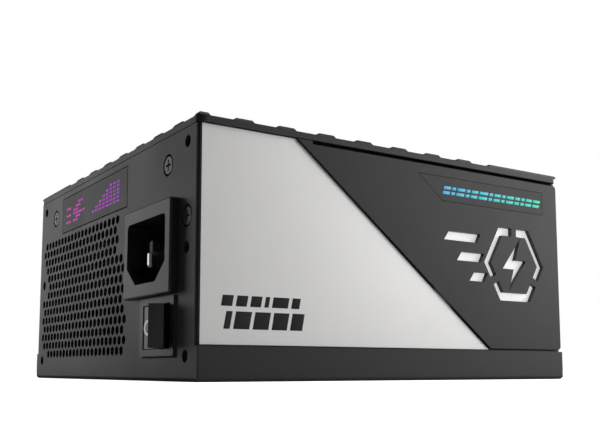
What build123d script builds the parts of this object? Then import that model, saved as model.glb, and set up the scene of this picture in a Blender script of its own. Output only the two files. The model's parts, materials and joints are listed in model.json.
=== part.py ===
from build123d import *
import math
import os

# Power supply unit of the long small-form-factor kind: 125 x 125 x 63.5 mm.
# Frame: +Z up with the fan on top, the mains panel faces -Y, the decorated side
# faces +X and the output sockets face +Y. The origin is the centre of the underside.

os.makedirs("parts", exist_ok=True)

# ---- driving dimensions, in millimetres ----
WIDTH = 125.0          # outside, along X and along Y
HALF = WIDTH / 2
SHEET = 1.0            # thickness of the steel sheet
BODY_TOP = 61.2        # top of the cover's roof
TRIM_TOP = 62.8        # top of the trim plate
TOOTH_TOP = 63.5       # top of the trim's raised teeth
PANEL_HALF = 61.2      # half width of the end panels and of the cover
STRIP_TOP = 8.3        # top of the tray's side strips
BEND = 1.0             # outside radius of the sheet bends

MOUNT_X = 56.5         # mounting holes: 113 mm apart along X
MOUNT_Z = (6.0, 31.75, 57.5)
MOUNT_R = 1.5          # tapped for a 6-32 screw
COLLAR_R = 2.4
COLLAR_DEPTH = 1.4

VENT_R = 1.42          # circumscribed radius of one hexagonal vent hole
VENT_PITCH_X = 3.3
VENT_PITCH_Z = 2.85
VENT_ROWS = 14
VENT_TOP_Z = 45.1

REAR_WINDOW = (-38.2, 18.6, 47.5, 59.3)    # low x, high x, low z, high z
SCREW_X = 45.3
SCREW_Z = 53.8
EARTH_Z = 39.3         # the earth screw beside the inlet
DIMPLE_R = 2.85        # each screw head sits in a pressed seat
DIMPLE_DEPTH = 0.6

INLET_X = 37.2         # centre of the inlet's opening
INLET_Z = 32.8
INLET_W = 24.1
INLET_H = 16.4
INLET_CUT_X = 5.8
INLET_CUT_Z = 4.6
FLANGE = (22.7, 52.2, 21.2, 44.6)
FLANGE_PROUD = 2.3
INLET_DEPTH = 18.0
WELL_DEPTH = 16.5

SWITCH_X = 40.8        # centre of the rocker switch
SWITCH_Z = 13.5
BEZEL_W = 20.6
BEZEL_H = 14.6
BEZEL_PROUD = 0.55
SWITCH_OPEN_W = 16.4
SWITCH_OPEN_H = 11.2
ROCKER_SWING = 19.0    # half of the rocker's travel, in degrees
ROCKER_PIVOT_Y = -61.74
ROCKER_R = 8.13
ROCKER_TIP = (7.25, 3.67)
TRUNNION_R = 1.1
RUNNING_GAP = 0.06     # radial clearance of a turning fit

FAN_SIZE = 120.0
FAN_TOP = 60.2
FAN_THICK = 15.0
FAN_BORE_R = 57.5
FAN_SCREW = 52.5
OPENING_R = 57.0
ROTOR_R = 56.3
HUB_R = 20.0
BLADES = 9
SHAFT_R = 1.5

BOARD_Z = 6.0          # underside of the main circuit board
BOARD_T = 1.6
DECK = BOARD_Z + BOARD_T
SOCKET_BOARD_Y = 52.0
SOCKET_PITCH = 4.2
SOCKET_DEEP = 11.0
SOCKET_FRONT = 64.8
SOCKET_WALL = 1.1

FRONT_SKIN = HALF - SHEET


def save(piece, name):
    piece.part.label = name
    export_step(piece.part, f"parts/{name}.step")


def rear_plane(y):
    """Sketch plane across Y at y: sketch x is X, sketch y is Z, extrudes towards +Y."""
    return Plane(origin=(0, y, 0), x_dir=(1, 0, 0), z_dir=(0, -1, 0))


def side_plane(x):
    """Sketch plane across X at x: sketch x is Y, sketch y is Z, extrudes towards +X."""
    return Plane(origin=(x, 0, 0), x_dir=(0, 1, 0), z_dir=(1, 0, 0))


def block(x0, x1, y0, y1, z0, z1, mode=Mode.ADD):
    """A box between two corners, inside the current part."""
    with Locations(((x0 + x1) / 2, (y0 + y1) / 2, (z0 + z1) / 2)):
        Box(x1 - x0, y1 - y0, z1 - z0, mode=mode)


def vent_points():
    """Centres of the vent holes: a hexagonal field that leaves the mounting holes clear."""
    points = []
    for row in range(VENT_ROWS):
        z = VENT_TOP_Z - row * VENT_PITCH_Z
        first = -54.5 - (row % 2) * VENT_PITCH_X / 2
        last = 12.8 if row < 4 else 16.6 if row < 9 else 18.4
        for column in range(23):
            x = first + column * VENT_PITCH_X
            near_mount = any(math.hypot(x + MOUNT_X, z - hole) < 5.2 for hole in MOUNT_Z)
            if x <= last and not near_mount:
                points.append((x, z))
    return points


# ---- output sockets: name of the group, columns, rows of pins, centres (x, z) ----
SOCKET_GROUPS = {
    "mainboard_sockets": [(9, 2, -32.0, 37.6), (5, 2, 4.0, 37.6)],
    "processor_sockets": [(4, 2, -40.0, 24.8), (4, 2, -14.5, 24.8)],
    "graphics_sockets": [(4, 2, 11.0, 24.8), (4, 2, 36.5, 24.8), (6, 2, 34.0, 37.6)],
    "drive_sockets": [(3, 2, -37.0, 12.0), (3, 2, -15.0, 12.0), (3, 2, 7.0, 12.0)],
}


def socket_size(columns, rows):
    return columns * SOCKET_PITCH + 1.2, rows * SOCKET_PITCH + 1.2


# ---- casing: tray with floor, both end panels and side strips ----
with BuildPart() as bottom_tray:
    block(-HALF, HALF, -HALF, HALF, 0, STRIP_TOP)
    fillet(bottom_tray.faces().sort_by(Axis.Z)[0].edges(), BEND)
    block(-FRONT_SKIN, FRONT_SKIN, -FRONT_SKIN, FRONT_SKIN, SHEET, STRIP_TOP, mode=Mode.SUBTRACT)
    block(-PANEL_HALF, PANEL_HALF, -HALF, -FRONT_SKIN, BEND * 2, BODY_TOP - 0.2)
    block(-PANEL_HALF, PANEL_HALF, FRONT_SKIN, HALF, BEND * 2, BODY_TOP - 0.2)
    with BuildSketch(rear_plane(-FRONT_SKIN)):
        for z in MOUNT_Z:
            with Locations((-MOUNT_X, z), (MOUNT_X, z)):
                Circle(COLLAR_R)
    extrude(amount=-COLLAR_DEPTH)
    with BuildSketch(rear_plane(-HALF - 0.5)):
        for z in MOUNT_Z:
            with Locations((-MOUNT_X, z), (MOUNT_X, z)):
                Circle(MOUNT_R)
    extrude(amount=-4, mode=Mode.SUBTRACT)
    with BuildSketch(rear_plane(-HALF - 0.5)):
        with Locations(*vent_points()):
            RegularPolygon(VENT_R, 6, rotation=30)
        with Locations((-SCREW_X, SCREW_Z), (SCREW_X, SCREW_Z), (MOUNT_X, EARTH_Z)):
            Circle(1.6)
        with Locations(((REAR_WINDOW[0] + REAR_WINDOW[1]) / 2, (REAR_WINDOW[2] + REAR_WINDOW[3]) / 2)):
            Rectangle(REAR_WINDOW[1] - REAR_WINDOW[0], REAR_WINDOW[3] - REAR_WINDOW[2])
        with Locations((INLET_X, INLET_Z)):
            Rectangle(INLET_W + 3.0, INLET_H + 3.0)
        with Locations((SWITCH_X, SWITCH_Z)):
            Rectangle(19.2, 12.8)
    extrude(amount=-2, mode=Mode.SUBTRACT)
    with BuildSketch(rear_plane(FRONT_SKIN - 0.5)):
        for sockets in SOCKET_GROUPS.values():
            for columns, rows, x, z in sockets:
                wide, tall = socket_size(columns, rows)
                with Locations((x, z)):
                    Rectangle(wide + 0.3, tall + 0.3)
        with Locations((-SCREW_X, SCREW_Z), (SCREW_X, SCREW_Z)):
            Circle(1.6)
    extrude(amount=-2, mode=Mode.SUBTRACT)
    with BuildSketch(rear_plane(-HALF - 0.5)):
        with Locations((-SCREW_X, SCREW_Z), (SCREW_X, SCREW_Z), (MOUNT_X, EARTH_Z)):
            Circle(DIMPLE_R)
    extrude(amount=-0.5 - DIMPLE_DEPTH, mode=Mode.SUBTRACT)
    with BuildSketch(rear_plane(HALF + 0.5)):
        with Locations((-SCREW_X, SCREW_Z), (SCREW_X, SCREW_Z)):
            Circle(DIMPLE_R)
    extrude(amount=0.5 + DIMPLE_DEPTH, mode=Mode.SUBTRACT)
save(bottom_tray, "bottom_tray")

# ---- casing: cover with roof, two sides and screw tabs ----
EMBLEM_FIELD = (11.0, 58.5, 20.0, 48.0)     # low y, high y, low z, high z
COVER_BOTTOM = 4.0
COVER_END = 61.4
with BuildPart() as top_cover:
    block(-PANEL_HALF, PANEL_HALF, -COVER_END, COVER_END, BODY_TOP - SHEET, BODY_TOP)
    for side in (-1, 1):
        inner = side * (PANEL_HALF - SHEET)
        outer = side * PANEL_HALF
        block(min(inner, outer), max(inner, outer), -COVER_END, COVER_END, COVER_BOTTOM, BODY_TOP)
    along = top_cover.edges().filter_by(Axis.Y)
    fillet(along.filter_by_position(Axis.Z, BODY_TOP - 0.1, BODY_TOP + 0.1), BEND)
    for side in (-1, 1):
        for end in (-1, 1):
            near = end * (COVER_END - SHEET)
            far = end * COVER_END
            block(side * SCREW_X - 5, side * SCREW_X + 5, min(near, far), max(near, far),
                  49.0, BODY_TOP - SHEET)
    with BuildSketch(Plane.XY.offset(BODY_TOP - 2)):
        Circle(OPENING_R)
        with GridLocations(2 * FAN_SCREW, 2 * FAN_SCREW, 2, 2):
            Circle(2.2)
    extrude(amount=3, mode=Mode.SUBTRACT)
    for end in (-1, 1):
        with BuildSketch(rear_plane(end * (COVER_END - 1) + 1.2)):
            with Locations((-SCREW_X, SCREW_Z), (SCREW_X, SCREW_Z)):
                Circle(1.25)
        extrude(amount=3, both=True, mode=Mode.SUBTRACT)
    with BuildSketch(side_plane(PANEL_HALF - 1.5)):
        with Locations(((EMBLEM_FIELD[0] + EMBLEM_FIELD[1]) / 2, (EMBLEM_FIELD[2] + EMBLEM_FIELD[3]) / 2)):
            Rectangle(EMBLEM_FIELD[1] - EMBLEM_FIELD[0], EMBLEM_FIELD[3] - EMBLEM_FIELD[2])
        with Locations((30.2, 53.85)):
            Rectangle(52.0, 8.6)
    extrude(amount=2, mode=Mode.SUBTRACT)
save(top_cover, "top_cover")

# ---- casing: trim plate with raised teeth round its edge ----
TOOTH_PITCH = 12.2
TOOTH_COUNT = 7
TOOTH_BASE = 5.4
TOOTH_DEEP = 3.6
TOOTH_FIRST = -50.1
LONG_TOOTH_START = 33.0
TOOTH_TAPER = 32
CORNER_TOOTH = 3.0
TRIM_INNER_R = 60.0
with BuildPart() as top_trim:
    with BuildSketch(Plane.XY.offset(BODY_TOP)):
        RectangleRounded(WIDTH, WIDTH, 2.0)
        Circle(TRIM_INNER_R, mode=Mode.SUBTRACT)
        with GridLocations(2 * FAN_SCREW, 2 * FAN_SCREW, 2, 2):
            Circle(4.2, mode=Mode.SUBTRACT)
    extrude(amount=TRIM_TOP - BODY_TOP)
    for edge in range(4):
        turned = Plane.XY.offset(TRIM_TOP).rotated((0, 0, 90 * edge))
        mirrored = 1 if edge % 2 else -1
        with BuildSketch(turned):
            for tooth in range(TOOTH_COUNT):
                with Locations((mirrored * (TOOTH_FIRST + tooth * TOOTH_PITCH), -HALF + TOOTH_DEEP / 2)):
                    Rectangle(TOOTH_BASE, TOOTH_DEEP)
            with Locations((mirrored * (LONG_TOOTH_START + HALF) / 2, -HALF + TOOTH_DEEP / 2)):
                Rectangle(HALF - LONG_TOOTH_START, TOOTH_DEEP)
            with Locations((-mirrored * (HALF - CORNER_TOOTH / 2), -HALF + CORNER_TOOTH / 2)):
                Rectangle(CORNER_TOOTH, CORNER_TOOTH)
        extrude(amount=TOOTH_TOP - TRIM_TOP, taper=TOOTH_TAPER)
save(top_trim, "top_trim")

# ---- fan guard: flat stamped rings joined by spokes round a centre disc ----
GUARD_RINGS = (50.5, 44.5, 38.5, 32.5, 26.5, 20.5)
GUARD_BAR = 1.5
GUARD_RIM_R = 59.5
with BuildPart() as fan_guard:
    with BuildSketch(Plane.XY.offset(BODY_TOP)):
        Circle(GUARD_RIM_R)
        Circle(GUARD_RIM_R - 3.5, mode=Mode.SUBTRACT)
        for ring in GUARD_RINGS:
            Circle(ring + GUARD_BAR / 2)
            Circle(ring - GUARD_BAR / 2, mode=Mode.SUBTRACT)
        Circle(12.0)
        with PolarLocations(34.5, 8, start_angle=22.5):
            Rectangle(46.0, 2.2)
    extrude(amount=SHEET)
save(fan_guard, "fan_guard")

# ---- side decoration: silver plate, dark plate with emblem cut-outs, bright backing ----
PLATE_LOW = 8.7
PLATE_HIGH = 61.0
DIAGONAL_TOP_Y = -34.8
DIAGONAL_LOW_Y = 31.8
PLATE_START = -61.3
PLATE_END = 61.9
SILVER_T = 0.5
DARK_T = HALF - PANEL_HALF
PLATE_GAP = 0.3
LEDGE_Y = -30.3
LEDGE_DROP = 0.9
with BuildPart() as silver_side_plate:
    with BuildSketch(side_plane(PANEL_HALF)):
        Polygon(
            (PLATE_START, PLATE_LOW),
            (DIAGONAL_LOW_Y - PLATE_GAP, PLATE_LOW),
            (DIAGONAL_TOP_Y - PLATE_GAP, PLATE_HIGH),
            (PLATE_START, PLATE_HIGH),
            align=None,
        )
    extrude(amount=SILVER_T)
save(silver_side_plate, "silver_side_plate")

EMBLEM_Y = 42.5
EMBLEM_Z = 34.0
SIDE_WINDOW = ((5.0, 57.4), (55.5, 57.4), (55.5, 50.3), (13.9, 50.3))


def emblem_sketch():
    """A broken hexagonal ring round a lightning bolt, with three slanted bars behind it."""
    for step, long in enumerate((13.0, 9.5, 6.0)):
        low = 5.4 - 5.6 * step
        end = -15.2 + 1.3 * step
        high = low + 2.6
        Polygon((end - long, low), (end, low), (end + 1.3, high), (end - long + 1.9, high), align=None)
    RegularPolygon(12.6, 6)
    RegularPolygon(9.8, 6, mode=Mode.SUBTRACT)
    with PolarLocations(11.0, 3, start_angle=90):
        Rectangle(6.0, 2.0, mode=Mode.SUBTRACT)
    Polygon((2.6, 8.0), (-5.0, -1.4), (-0.4, -1.4), (-2.6, -8.0), (5.0, 1.4), (0.4, 1.4), align=None)


with BuildPart() as dark_side_plate:
    with BuildSketch(side_plane(PANEL_HALF)):
        Polygon(
            (DIAGONAL_LOW_Y, PLATE_LOW + PLATE_GAP),
            (PLATE_END, PLATE_LOW + PLATE_GAP),
            (PLATE_END, PLATE_HIGH - LEDGE_DROP),
            (LEDGE_Y, PLATE_HIGH - LEDGE_DROP),
            (LEDGE_Y, PLATE_HIGH),
            (DIAGONAL_TOP_Y, PLATE_HIGH),
            align=None,
        )
        Polygon(*SIDE_WINDOW, align=None, mode=Mode.SUBTRACT)
    extrude(amount=DARK_T)
    across = dark_side_plate.edges().filter_by(Axis.X)
    fillet(across.filter_by_position(Axis.Y, PLATE_END - 0.1, PLATE_END + 0.1), 1.0)
    with BuildSketch(side_plane(PANEL_HALF - 0.5)):
        with Locations((EMBLEM_Y, EMBLEM_Z)):
            emblem_sketch()
    extrude(amount=DARK_T + 1, mode=Mode.SUBTRACT)
save(dark_side_plate, "dark_side_plate")

BACKING_GAP = 0.3
with BuildPart() as emblem_backing:
    low_y, high_y, low_z, high_z = EMBLEM_FIELD
    block(PANEL_HALF - 0.9, PANEL_HALF, low_y + 0.3, high_y - 0.3, low_z + 0.3, high_z - 0.3)
    block(PANEL_HALF - BACKING_GAP, PANEL_HALF, low_y + 1.3, high_y - 1.3, low_z + 1.3, high_z - 1.3,
          mode=Mode.SUBTRACT)
save(emblem_backing, "emblem_backing")

with BuildPart() as side_light_window:
    with BuildSketch(side_plane(PANEL_HALF)):
        Polygon(*SIDE_WINDOW, align=None)
        offset(amount=-0.12, kind=Kind.INTERSECTION, mode=Mode.REPLACE)
    extrude(amount=DARK_T)
save(side_light_window, "side_light_window")

with BuildPart() as side_light_board:
    block(PANEL_HALF - 0.9, PANEL_HALF - 0.1, 5.0, 55.5, 50.0, 57.6)
save(side_light_board, "side_light_board")

WINDOW_LEFT, WINDOW_RIGHT, WINDOW_LOW, WINDOW_HIGH = REAR_WINDOW
with BuildPart() as rear_light_window:
    left, right = WINDOW_LEFT + 0.25, WINDOW_RIGHT - 0.4
    block(left, right, -HALF, -FRONT_SKIN, WINDOW_LOW + 0.35, WINDOW_HIGH - 0.25)
save(rear_light_window, "rear_light_window")

with BuildPart() as rear_light_board:
    left, right = WINDOW_LEFT - 1, WINDOW_RIGHT + 1
    block(left, right, -FRONT_SKIN, -FRONT_SKIN + 0.8, WINDOW_LOW - 1, WINDOW_HIGH + 0.7)
save(rear_light_board, "rear_light_board")

with BuildPart() as rating_plate:
    with BuildSketch(side_plane(-PANEL_HALF)):
        with Locations((0, 34.0)):
            RectangleRounded(112.0, 44.0, 2.0)
    extrude(amount=-0.4)
save(rating_plate, "rating_plate")

# ---- screws: two behind each end of the roof, and the earth screw beside the inlet ----


HEAD_T = 0.55


def cap_screw(head_y, away, x, z, head_r, shank_r, length):
    """Pan head with a cross recess; away is the side the head looks to, -1 or +1 along Y."""
    seat = Plane(origin=(x, head_y, z), x_dir=(1, 0, 0), z_dir=(0, away, 0))
    with BuildSketch(seat) as head:
        Circle(head_r)
    extrude(head.sketch, amount=HEAD_T, taper=30)
    with BuildSketch(seat) as shank:
        Circle(shank_r)
    extrude(shank.sketch, amount=-length)
    with BuildSketch(seat.offset(0.1)) as recess:
        Rectangle(head_r * 1.2, 0.6)
        Rectangle(0.6, head_r * 1.2)
    extrude(recess.sketch, amount=2, mode=Mode.SUBTRACT)


with BuildPart() as cover_screws:
    for end in (-1, 1):
        for side in (-1, 1):
            cap_screw(end * (HALF - DIMPLE_DEPTH), end, side * SCREW_X, SCREW_Z, 2.5, 1.2, 1.7)
save(cover_screws, "cover_screws")

with BuildPart() as earth_screw:
    cap_screw(-HALF + DIMPLE_DEPTH, -1, MOUNT_X, EARTH_Z, 2.5, 1.5, 4.4)
save(earth_screw, "earth_screw")

# ---- mains inlet: flange and housing with a cut-cornered well, three blades ----


def inlet_outline(grow):
    """The inlet's opening: round corners above, slanted corners below."""
    wide = INLET_W / 2 + grow
    tall = INLET_H / 2 + grow
    Polygon((-wide, tall), (wide, tall), (wide, -tall + INLET_CUT_Z), (wide - INLET_CUT_X, -tall),
            (-wide + INLET_CUT_X, -tall), (-wide, -tall + INLET_CUT_Z), align=None)


LINE_FRONT = -HALF + 1.8     # the line blades stop here, and the earth blade is longer
EARTH_FRONT = -HALF - 1.4
BLADE_BACK = -HALF + INLET_DEPTH + 7.0
BLADES_AT = ((-7.0, 2.0, LINE_FRONT), (7.0, 2.0, LINE_FRONT), (0.0, -2.0, EARTH_FRONT))
with BuildPart() as inlet_housing:
    with BuildSketch(rear_plane(-HALF)):
        with Locations(((FLANGE[0] + FLANGE[1]) / 2, (FLANGE[2] + FLANGE[3]) / 2)):
            RectangleRounded(FLANGE[1] - FLANGE[0], FLANGE[3] - FLANGE[2], 0.8)
    extrude(amount=FLANGE_PROUD)
    front = inlet_housing.faces().sort_by(Axis.Y)[0]
    fillet(front.edges(), 0.5)
    with BuildSketch(rear_plane(-HALF)):
        with Locations((INLET_X, INLET_Z)):
            inlet_outline(1.3)
    extrude(amount=-INLET_DEPTH)
    with BuildSketch(rear_plane(-HALF - FLANGE_PROUD - 1)):
        with Locations((INLET_X, INLET_Z)):
            inlet_outline(0)
        fillet(vertices().group_by(Axis.Y)[-1], 1.4)
    extrude(amount=-(FLANGE_PROUD + 1 + WELL_DEPTH), mode=Mode.SUBTRACT)
    for blade_x, blade_z, front_y in BLADES_AT:
        block(INLET_X + blade_x - 1, INLET_X + blade_x + 1, front_y, BLADE_BACK,
              INLET_Z + blade_z - 2, INLET_Z + blade_z + 2, mode=Mode.SUBTRACT)
save(inlet_housing, "inlet_housing")

with BuildPart() as inlet_blades:
    for blade_x, blade_z, front_y in BLADES_AT:
        x = INLET_X + blade_x
        z = INLET_Z + blade_z
        block(x - 1, x + 1, front_y, BLADE_BACK, z - 2, z + 2)
    for front_y in (LINE_FRONT, EARTH_FRONT):
        chamfer(inlet_blades.edges().filter_by_position(Axis.Y, front_y - 0.1, front_y + 0.1), 0.5)
save(inlet_blades, "inlet_blades")

# ---- rocker switch: bezel and box, rocker on trunnions, terminals ----
SWITCH_BACK = -HALF + 14.0
POCKET_BACK = -HALF + 9.5
TRUNNION_REACH = 0.6
with BuildPart() as switch_housing:
    with BuildSketch(rear_plane(-HALF)):
        with Locations((SWITCH_X, SWITCH_Z)):
            RectangleRounded(BEZEL_W, BEZEL_H, 0.6)
    extrude(amount=BEZEL_PROUD)
    with BuildSketch(rear_plane(-HALF)):
        with Locations((SWITCH_X, SWITCH_Z)):
            Rectangle(19.0, 12.6)
    extrude(amount=-(SWITCH_BACK + HALF))
    block(SWITCH_X - SWITCH_OPEN_W / 2, SWITCH_X + SWITCH_OPEN_W / 2, -HALF - 1, POCKET_BACK,
          SWITCH_Z - SWITCH_OPEN_H / 2, SWITCH_Z + SWITCH_OPEN_H / 2, mode=Mode.SUBTRACT)
    socket_end = SWITCH_OPEN_H / 2 + TRUNNION_REACH - 0.1
    with BuildSketch(Plane(origin=(SWITCH_X, ROCKER_PIVOT_Y, SWITCH_Z - socket_end))):
        Circle(TRUNNION_R + RUNNING_GAP)
    extrude(amount=2 * socket_end, mode=Mode.SUBTRACT)
save(switch_housing, "switch_housing")

ROCKER_H = SWITCH_OPEN_H - 0.5
ROCKER_CREASE = ROCKER_TIP[1] - ROCKER_TIP[0] * math.tan(math.radians(ROCKER_SWING))
swing = math.radians(ROCKER_SWING)
rocker_axes = Plane(origin=(SWITCH_X, ROCKER_PIVOT_Y, SWITCH_Z - ROCKER_H / 2),
                    x_dir=(math.cos(swing), -math.sin(swing), 0), z_dir=(0, 0, 1))
with BuildPart() as rocker:
    with BuildSketch(rocker_axes):
        with BuildLine():
            tip_x, tip_y = ROCKER_TIP
            Line((-tip_x, -tip_y), (0, -ROCKER_CREASE))
            Line((0, -ROCKER_CREASE), (tip_x, -tip_y))
            rim = ROCKER_R * math.cos(math.radians(12))
            rise = ROCKER_R * math.sin(math.radians(12))
            ThreePointArc((tip_x, -tip_y), (rim, -rise), (ROCKER_R, 0))
            Line((ROCKER_R, 0), (2.4, 5.6))
            Line((2.4, 5.6), (-2.4, 5.6))
            Line((-2.4, 5.6), (-ROCKER_R, 0))
            ThreePointArc((-ROCKER_R, 0), (-rim, -rise), (-tip_x, -tip_y))
        make_face()
    extrude(amount=ROCKER_H)
    with BuildSketch(rocker_axes.offset(-TRUNNION_REACH)):
        Circle(TRUNNION_R)
    extrude(amount=ROCKER_H + 2 * TRUNNION_REACH)
save(rocker, "rocker")

with BuildPart() as switch_terminals:
    for offset_x in (-5.0, 0.0):
        block(SWITCH_X + offset_x - 0.4, SWITCH_X + offset_x + 0.4, SWITCH_BACK, SWITCH_BACK + 8,
              SWITCH_Z - 2.4, SWITCH_Z + 2.4)
save(switch_terminals, "switch_terminals")

# ---- fan: square frame, rotor on a shaft, bearing, stator, driver board, screws ----
FAN_LOW = FAN_TOP - FAN_THICK
HUB_FLOOR = 2.0
with BuildPart() as fan_frame:
    with BuildSketch(Plane.XY.offset(FAN_LOW)):
        RectangleRounded(FAN_SIZE - 0.2, FAN_SIZE - 0.2, 6.0)
        Circle(FAN_BORE_R, mode=Mode.SUBTRACT)
        with GridLocations(2 * FAN_SCREW, 2 * FAN_SCREW, 2, 2):
            Circle(1.9, mode=Mode.SUBTRACT)
    extrude(amount=FAN_THICK)
    with BuildSketch(Plane.XY.offset(FAN_LOW)):
        Circle(19.0)
        with PolarLocations(38.0, 4, start_angle=45):
            Rectangle(40.5, 4.0)
    extrude(amount=HUB_FLOOR)
    with BuildSketch(Plane.XY.offset(FAN_LOW + HUB_FLOOR)):
        Circle(4.5)
        Circle(3.2, mode=Mode.SUBTRACT)
    extrude(amount=8.0)
save(fan_frame, "fan_frame")

with BuildPart() as fan_bearing:
    with BuildSketch(Plane.XY.offset(FAN_LOW + HUB_FLOOR)):
        Circle(3.2)
        Circle(SHAFT_R + RUNNING_GAP, mode=Mode.SUBTRACT)
    extrude(amount=7.6)
save(fan_bearing, "fan_bearing")

with BuildPart() as fan_stator:
    with BuildSketch(Plane.XY.offset(FAN_LOW + HUB_FLOOR + 2.2)):
        Circle(7.0)
        with PolarLocations(10.0, 4):
            Rectangle(8.0, 3.6)
        with PolarLocations(14.5, 4):
            Rectangle(2.4, 9.0)
        Circle(4.5, mode=Mode.SUBTRACT)
    extrude(amount=5.0)
save(fan_stator, "fan_stator")

with BuildPart() as fan_driver_board:
    with BuildSketch(Plane.XY.offset(FAN_LOW + HUB_FLOOR)):
        Circle(15.0)
        Circle(4.5, mode=Mode.SUBTRACT)
    extrude(amount=1.0)
save(fan_driver_board, "fan_driver_board")

HUB_TOP = FAN_TOP - 1.5
HUB_LOW = FAN_LOW + HUB_FLOOR + 1.4
BLADE_PITCH = 32.0
with BuildPart() as fan_rotor:
    with BuildSketch(Plane.XY.offset(HUB_LOW)):
        Circle(HUB_R)
    extrude(amount=HUB_TOP - HUB_LOW)
    fillet(fan_rotor.edges().group_by(Axis.Z)[-1], 1.2)
    with BuildSketch(Plane.XY.offset(HUB_LOW)):
        Circle(HUB_R - 1.6)
    extrude(amount=HUB_TOP - HUB_LOW - 1.6, mode=Mode.SUBTRACT)
    for blade in range(BLADES):
        turn = 360 / BLADES * blade
        blade_plane = Plane(origin=(0, 0, (HUB_TOP + HUB_LOW) / 2), x_dir=(0, 1, 0), z_dir=(1, 0, 0))
        with BuildSketch(blade_plane.offset(HUB_R - 1.0), mode=Mode.PRIVATE) as root:
            with Locations(Location((0, 0), BLADE_PITCH)):
                Rectangle(14.0, 1.4)
        with BuildSketch(blade_plane.offset(ROTOR_R - 2.2), mode=Mode.PRIVATE) as tip:
            with Locations(Location((9.0, 0), BLADE_PITCH - 8)):
                Rectangle(21.0, 1.1)
        swept = loft(Sketch() + [root.sketch, tip.sketch], mode=Mode.PRIVATE)
        add(swept.rotate(Axis.Z, turn))
save(fan_rotor, "fan_rotor")

with BuildPart() as fan_shaft:
    with BuildSketch(Plane.XY.offset(FAN_LOW + HUB_FLOOR + 0.3)):
        Circle(SHAFT_R)
    extrude(amount=HUB_TOP - 1.6 - (FAN_LOW + HUB_FLOOR + 0.3))
save(fan_shaft, "fan_shaft")

with BuildPart() as fan_screws:
    with BuildSketch(Plane.XY.offset(BODY_TOP)):
        with GridLocations(2 * FAN_SCREW, 2 * FAN_SCREW, 2, 2):
            Circle(3.6)
    extrude(amount=1.4, taper=15)
    with BuildSketch(Plane.XY.offset(BODY_TOP - 10)):
        with GridLocations(2 * FAN_SCREW, 2 * FAN_SCREW, 2, 2):
            Circle(1.9)
    extrude(amount=10)
    with BuildSketch(Plane.XY.offset(BODY_TOP + 0.7)):
        with GridLocations(2 * FAN_SCREW, 2 * FAN_SCREW, 2, 2):
            Rectangle(4.0, 0.8)
            Rectangle(0.8, 4.0)
    extrude(amount=1.5, mode=Mode.SUBTRACT)
save(fan_screws, "fan_screws")

# ---- output sockets on +Y: shrouds round recessed pins, on an upright board ----
PIN_TIP_Y = 60.0       # the pins end this far out, behind the mouth of each shroud
PIN_W = 1.1


def socket_pin_places():
    places = []
    for sockets in SOCKET_GROUPS.values():
        for columns, rows, x, z in sockets:
            for column in range(columns):
                for row in range(rows):
                    places.append((x + (column - (columns - 1) / 2) * SOCKET_PITCH,
                                   z + (row - (rows - 1) / 2) * SOCKET_PITCH))
    return places


for group, sockets in SOCKET_GROUPS.items():
    with BuildPart() as shrouds:
        for columns, rows, x, z in sockets:
            wide, tall = socket_size(columns, rows)
            back = SOCKET_FRONT - SOCKET_DEEP
            block(x - wide / 2, x + wide / 2, back, SOCKET_FRONT, z - tall / 2, z + tall / 2)
            block(x - wide / 2 + SOCKET_WALL, x + wide / 2 - SOCKET_WALL, back + 1.5, SOCKET_FRONT + 1,
                  z - tall / 2 + SOCKET_WALL, z + tall / 2 - SOCKET_WALL, mode=Mode.SUBTRACT)
            block(x - 2.2, x + 2.2, HALF + 0.2, SOCKET_FRONT, z + tall / 2, z + tall / 2 + 0.9)
        with BuildSketch(rear_plane(SOCKET_FRONT)):
            with Locations(*socket_pin_places()):
                Rectangle(PIN_W, PIN_W)
        extrude(amount=SOCKET_DEEP + 1, mode=Mode.SUBTRACT)
    save(shrouds, group)

with BuildPart() as socket_pins:
    with BuildSketch(rear_plane(PIN_TIP_Y)):
        with Locations(*socket_pin_places()):
            Rectangle(PIN_W - 0.1, PIN_W - 0.1)
    extrude(amount=PIN_TIP_Y - SOCKET_BOARD_Y - 1.6)
save(socket_pins, "socket_pins")

with BuildPart() as socket_board:
    block(-56, 56, SOCKET_BOARD_Y, SOCKET_BOARD_Y + 1.6, 4.0, 43.6)
save(socket_board, "socket_board")

# ---- main board on standoffs over an insulating sheet ----
BOARD_X = 57.0
BOARD_Y = (-44.0, 51.5)
STANDOFFS = [(-52.0, -38.0), (20.0, -38.0), (-52.0, 46.0), (52.0, 46.0), (52.0, -30.0)]
with BuildPart() as insulating_sheet:
    block(-58, 58, -46, 50, SHEET, SHEET + 0.4)
    with BuildSketch(Plane.XY):
        with Locations(*STANDOFFS):
            Circle(3.6)
    extrude(amount=3, mode=Mode.SUBTRACT)
save(insulating_sheet, "insulating_sheet")

with BuildPart() as board_standoffs:
    with BuildSketch(Plane.XY.offset(SHEET)):
        with Locations(*STANDOFFS):
            RegularPolygon(3.0, 6)
            Circle(1.25, mode=Mode.SUBTRACT)
    extrude(amount=BOARD_Z - SHEET)
save(board_standoffs, "board_standoffs")

with BuildPart() as main_board:
    block(-BOARD_X, BOARD_X, BOARD_Y[0], BOARD_Y[1], BOARD_Z, DECK)
    with BuildSketch(Plane.XY.offset(BOARD_Z - 1)):
        with Locations(*STANDOFFS):
            Circle(1.6)
    extrude(amount=4, mode=Mode.SUBTRACT)
save(main_board, "main_board")

with BuildPart() as board_screws:
    with BuildSketch(Plane.XY.offset(DECK)):
        with Locations(*STANDOFFS):
            Circle(2.8)
    extrude(amount=1.6, taper=15)
    with BuildSketch(Plane.XY.offset(DECK)):
        with Locations(*STANDOFFS):
            Circle(1.25)
    extrude(amount=-5)
save(board_screws, "board_screws")

# ---- components on the main board ----


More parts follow.
